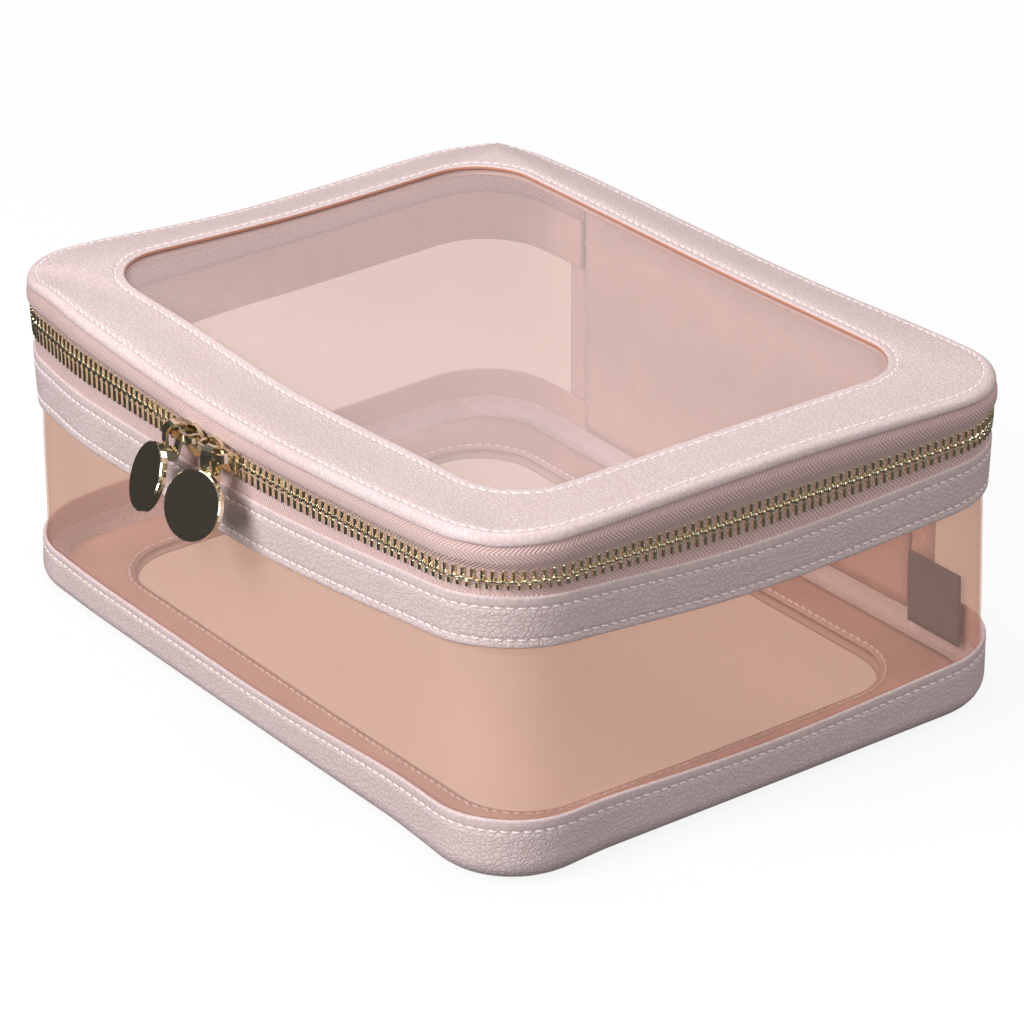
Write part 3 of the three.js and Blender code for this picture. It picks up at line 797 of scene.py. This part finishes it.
def zip_parts():
    low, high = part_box("zip_tape_upper")
    tape("zip_tape_upper_woven", ZIP_LEVEL + GAP, high.z, SHEET_INSET, 1.9 * MM, "zip_tape_upper", "lid")
    low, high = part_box("zip_tape_lower")
    tape("zip_tape_lower_woven", ZIP_LEVEL - GAP, low.z, SHEET_INSET, 0.7 * MM, "zip_tape_lower", "case")
    teeth("zip_teeth_upper_row", 1, 0.5, PANEL_HALF + GAP, "zip_teeth_upper", "lid")
    teeth("zip_teeth_lower_row", -1, 1.0, PANEL_HALF + 3 * MM, "zip_teeth_lower", "case")


# ---- Body ----
def body_band():
    seams = [BAND_BOTTOM + BAND_LOW_SEAM, BAND_TOP - BAND_TOP_SEAM]
    open_at = PANEL_HALF + GAP
    section = upright_section(BAND_BOTTOM, BAND_TOP, LEATHER, seams)
    made = strip("band_leather", section, open_at, seams[1] + SEAM_WIDTH)
    dress(soft(made), LEATHER_MAT, "leather", "band")
    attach(made, "case")
    for word, level in zip(("lower", "upper"), seams):
        seam_round(f"band_{word}_stitches", level, "case", open_at)


def inner_layers():
    low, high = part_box("band_lining")
    section = upright_section(low.z, high.z, LINING, (), LINING_INSET)
    made = strip("band_lining_cloth", section, PANEL_TUCK)
    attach(dress(soft(made), LINING_MAT, "lining", "band_lining"), "case")


def clear_wall():
    """The clear sheet round the bag, which runs behind the band and down inside the tray."""
    low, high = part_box("clear_wall")
    levels = np.linspace(low.z, high.z, 26)
    outer = [(SHEET_INSET, z) for z in levels]
    inner = [(SHEET_INSET + SHEET, z) for z in reversed(levels)]
    made = strip("clear_wall_soft", outer + inner, PANEL_TUCK)
    dress(soft(made), WALL_MAT, "clear_sheet", "clear_wall")
    made.visible_shadow = False
    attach(made, "case")


def tray():
    bend = 6 * MM
    seam = TRAY_TOP - TRAY_SEAM
    half = LEATHER / 2
    outer = half_round(bend, bend, bend, -90, 0, 8)
    outer += [(dent(z, [seam]), z) for z in levels_between(bend, TRAY_TOP - half)]
    top = half_round(half, TRAY_TOP - half, half, 0, 180)
    inner = [(LEATHER, z) for z in reversed(levels_between(bend, TRAY_TOP - half, 2 * MM))]
    inner += half_round(bend, bend, bend - LEATHER, 0, -90, 8)
    made = strip("tray_leather", outer + top + inner, 0.0, seam + SEAM_WIDTH)
    dress(soft(made), LEATHER_MAT, "leather", "tray_band")
    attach(made, "case")
    seam_round("tray_stitches", seam, "case")


def base():
    low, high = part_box("base_frame")
    leather = flat_frame("base_leather", low.z, high.z, BASE_INSET, 0)
    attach(dress(leather, LEATHER_MAT, "leather", "base_frame"), "case")
    low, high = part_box("base_window")
    window_sheet("base_window_sheet", low.z, high.z, WALL_MAT, "base_window", "case")
    low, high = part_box("base_stiffener")
    board = flat_frame("base_board", low.z, high.z, BASE_INSET + GAP, BOARD_MARGIN)
    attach(dress(board, BOARD_MAT, "board", "base_stiffener"), "case")
    low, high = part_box("base_lining_frame")
    lining = flat_frame("base_lining", low.z, high.z, BASE_INSET + GAP, LINING_MARGIN)
    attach(dress(lining, LINING_MAT, "lining", "base_lining_frame"), "case")
    path = window_ring(WINDOW_SEAM, high.z)
    stitches("base_window_stitches", path, upwards(path), "case")


# ---- Back ----
def back_sheet(name, half_width, inset, thickness, levels):
    """An upright sheet across the back, with a row of points at each given level."""
    across = np.linspace(-half_width, half_width, 36)
    outer_y = BACK_Y - inset
    rings = []
    for y, order in ((outer_y, levels), (outer_y - thickness, levels[::-1])):
        for z in order:
            rings.append(np.array([(x, y, z) for x in across]))
    return cap_fix(loft(name, rings, closed=False))


def hinge_leather():
    """One leather panel up the back, with closer rows about the zip's level."""
    low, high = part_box("back_panel")[0].z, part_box("hinge_flap")[1].z
    bend = 3 * MM
    levels = np.concatenate([
        np.linspace(low, ZIP_LEVEL - bend, 30, endpoint=False),
        np.linspace(ZIP_LEVEL - bend, ZIP_LEVEL + bend, 13),
        np.linspace(ZIP_LEVEL + bend, high, 5)[1:],
    ])
    made = back_sheet("hinge_panel_leather", PANEL_HALF, 0, LEATHER, levels)
    dress(soft(made), LEATHER_MAT, "leather", "back_panel", "hinge_flap")
    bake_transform(made)
    low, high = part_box("back_panel_lining")
    levels = np.linspace(low.z, high.z, 20)
    lining = back_sheet("back_lining_cloth", high.x, BACK_Y - high.y, high.y - low.y, levels)
    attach(dress(soft(lining), LINING_MAT, "lining", "back_panel_lining"), "case")
    for side in (-1, 1):
        word = "left" if side < 0 else "right"
        levels = np.linspace(low.z + 14 * MM, ZIP_LEVEL - 6 * MM, 30)
        path = np.array([(side * (PANEL_HALF - 3 * MM), BACK_Y, z) for z in levels])
        outward = np.tile(np.array([0.0, 1.0, 0.0]), (len(path), 1))
        stitches(f"back_{word}_stitches", path, outward, "case")


def label():
    """A blank cloth label that curls a little away from the wall."""
    low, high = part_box("label")
    across = np.linspace(low.x, high.x, 14)
    rings = []
    for y, order in ((high.y, 1), (low.y, -1)):
        for z in np.linspace(low.z, high.z, 10)[::order]:
            curl = 0.6 * MM * ((z - low.z) / (high.z - low.z)) ** 2
            rings.append(np.array([(x, y - curl, z) for x in across]))
    made = cap_fix(loft("label_cloth_blank", rings, closed=False))
    dress(made, LABEL_MAT, "label_cloth", "label")
    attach(made, "case")


# ---- Metal parts kept from the CAD ----
def polish(node, material, width=0.18 * MM):
    """Softens a CAD part's sharp edges and gives it its metal."""
    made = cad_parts[node]
    made.data.materials.clear()
    made.data.materials.append(material)
    bevel = made.modifiers.new("Edges", "BEVEL")
    bevel.width = width
    bevel.segments = 3
    bevel.limit_method = "ANGLE"
    bevel.angle_limit = math.radians(35)
    bevel.harden_normals = True
    made.data.shade_smooth()


def metal_parts():
    for word in ("left", "right"):
        polish(f"slider_{word}", PULL_MAT)
        polish(f"crown_{word}", PULL_MAT, 0.22 * MM)
        polish(f"link_{word}", PULL_MAT, 0.15 * MM)
        polish(f"disc_{word}", PULL_MAT, 0.2 * MM)
        polish(f"zip_stop_{word}", GOLD_MAT)


# ---- Camera, light and floor ----
CAMERA_AZIMUTH = 53.24
CAMERA_HEIGHT = 26.22
CAMERA_ROLL = -0.29
CAMERA_DISTANCE = 1.288
CAMERA_TARGET = Vector((4.0 * MM, CENTRE_Y + 1.9 * MM, 38.5 * MM))
CAMERA_LENS = 155.3


def camera():
    azimuth, height = math.radians(CAMERA_AZIMUTH), math.radians(CAMERA_HEIGHT)
    flat = math.cos(height)
    toward = Vector((math.sin(azimuth) * flat, -math.cos(azimuth) * flat, math.sin(height)))
    data = bpy.data.cameras.new("camera")
    data.lens = CAMERA_LENS
    data.sensor_width = 36
    made = bpy.data.objects.new("camera", data)
    turned = toward.to_track_quat("Z", "Y").to_matrix().to_4x4()
    roll = Matrix.Rotation(math.radians(CAMERA_ROLL), 4, "Z")
    made.matrix_world = Matrix.Translation(CAMERA_TARGET + toward * CAMERA_DISTANCE) @ turned @ roll
    bpy.context.scene.collection.objects.link(made)
    bpy.context.scene.camera = made


def lamp(name, place, target, size, power, colour=(1, 1, 1)):
    data = bpy.data.lights.new(name, "AREA")
    data.shape = "RECTANGLE"
    data.size, data.size_y = size
    data.energy = power
    data.color = colour
    made = bpy.data.objects.new(name, data)
    made.location = place
    made.rotation_euler = (Vector(target) - Vector(place)).to_track_quat("-Z", "Y").to_euler()
    bpy.context.scene.collection.objects.link(made)


BRIGHT_SIDE = (0.5, 0.3, 0.8)


def studio():
    world = bpy.data.worlds.new("studio")
    bpy.context.scene.world = world
    world.use_nodes = True
    tree = world.node_tree
    tree.nodes.clear()
    sky = tree.nodes.new("ShaderNodeBackground")
    sky.inputs["Color"].default_value = (1, 0.955, 0.93, 1)
    place = tree.nodes.new("ShaderNodeTexCoord")
    facing = tree.nodes.new("ShaderNodeVectorMath")
    facing.operation = "DOT_PRODUCT"
    facing.inputs[1].default_value = BRIGHT_SIDE
    rise = tree.nodes.new("ShaderNodeMapRange")
    rise.inputs["From Min"].default_value = -0.1
    rise.inputs["From Max"].default_value = 0.8
    rise.inputs["To Min"].default_value = 0.05
    rise.inputs["To Max"].default_value = 0.36
    tree.links.new(place.outputs["Generated"], facing.inputs[0])
    tree.links.new(facing.outputs["Value"], rise.inputs["Value"])
    tree.links.new(rise.outputs["Result"], sky.inputs["Strength"])
    output = tree.nodes.new("ShaderNodeOutputWorld")
    tree.links.new(sky.outputs[0], output.inputs["Surface"])
    lamp("key", (-0.1, -1.1, 1.0), (0, 0, 0.05), (0.6, 0.6), 13.5)
    lamp("front", (0.2, -1.5, 0.35), (0, 0, 0.05), (0.5, 0.5), 7.2)
    lamp("side", (1.4, -0.5, 0.5), (0, 0, 0.05), (0.6, 0.6), 4.4)
    lamp("top", (-0.35, 0.0, 1.4), (0, 0, 0.05), (0.9, 0.9), 7.2)
    lamp("back", (0.5, 1.2, 0.9), (0, 0, 0.05), (0.6, 0.6), 4)
    bpy.context.scene.view_settings.view_transform = "Standard"


def floor():
    size, steps = 6.0, 12
    across = np.linspace(-size, size, steps + 1)
    points = [(x, y, -0.2 * MM) for y in across for x in across]
    faces = []
    for row in range(steps):
        for column in range(steps):
            first = row * (steps + 1) + column
            faces.append((first, first + 1, first + steps + 2, first + steps + 1))
    made = make_object("floor", points, faces)
    paint = Paint("floor_paper")
    speck = paint.node("ShaderNodeTexNoise", Vector=paint.place(), Scale=500.0)
    colour = paint.blend_colour(speck.outputs["Fac"], (0.93, 0.93, 0.93, 1), (0.97, 0.97, 0.97, 1))
    paper = paint.node("ShaderNodeBsdfDiffuse", Color=colour)
    glow = paint.node("ShaderNodeEmission", Strength=1.0)
    mixed = paint.node("ShaderNodeMixShader")
    mixed.inputs[0].default_value = 0.88
    paint.tree.links.new(paper.outputs[0], mixed.inputs[1])
    paint.tree.links.new(glow.outputs[0], mixed.inputs[2])
    made.data.materials.append(paint.finish(mixed))
    made.visible_diffuse = False
    made.visible_glossy = False


camera()
lid_leather()
lid_layers()
zip_parts()
body_band()
inner_layers()
clear_wall()
tray()
base()
hinge_leather()
label()
metal_parts()
studio()
floor()

bpy.context.view_layer.update()
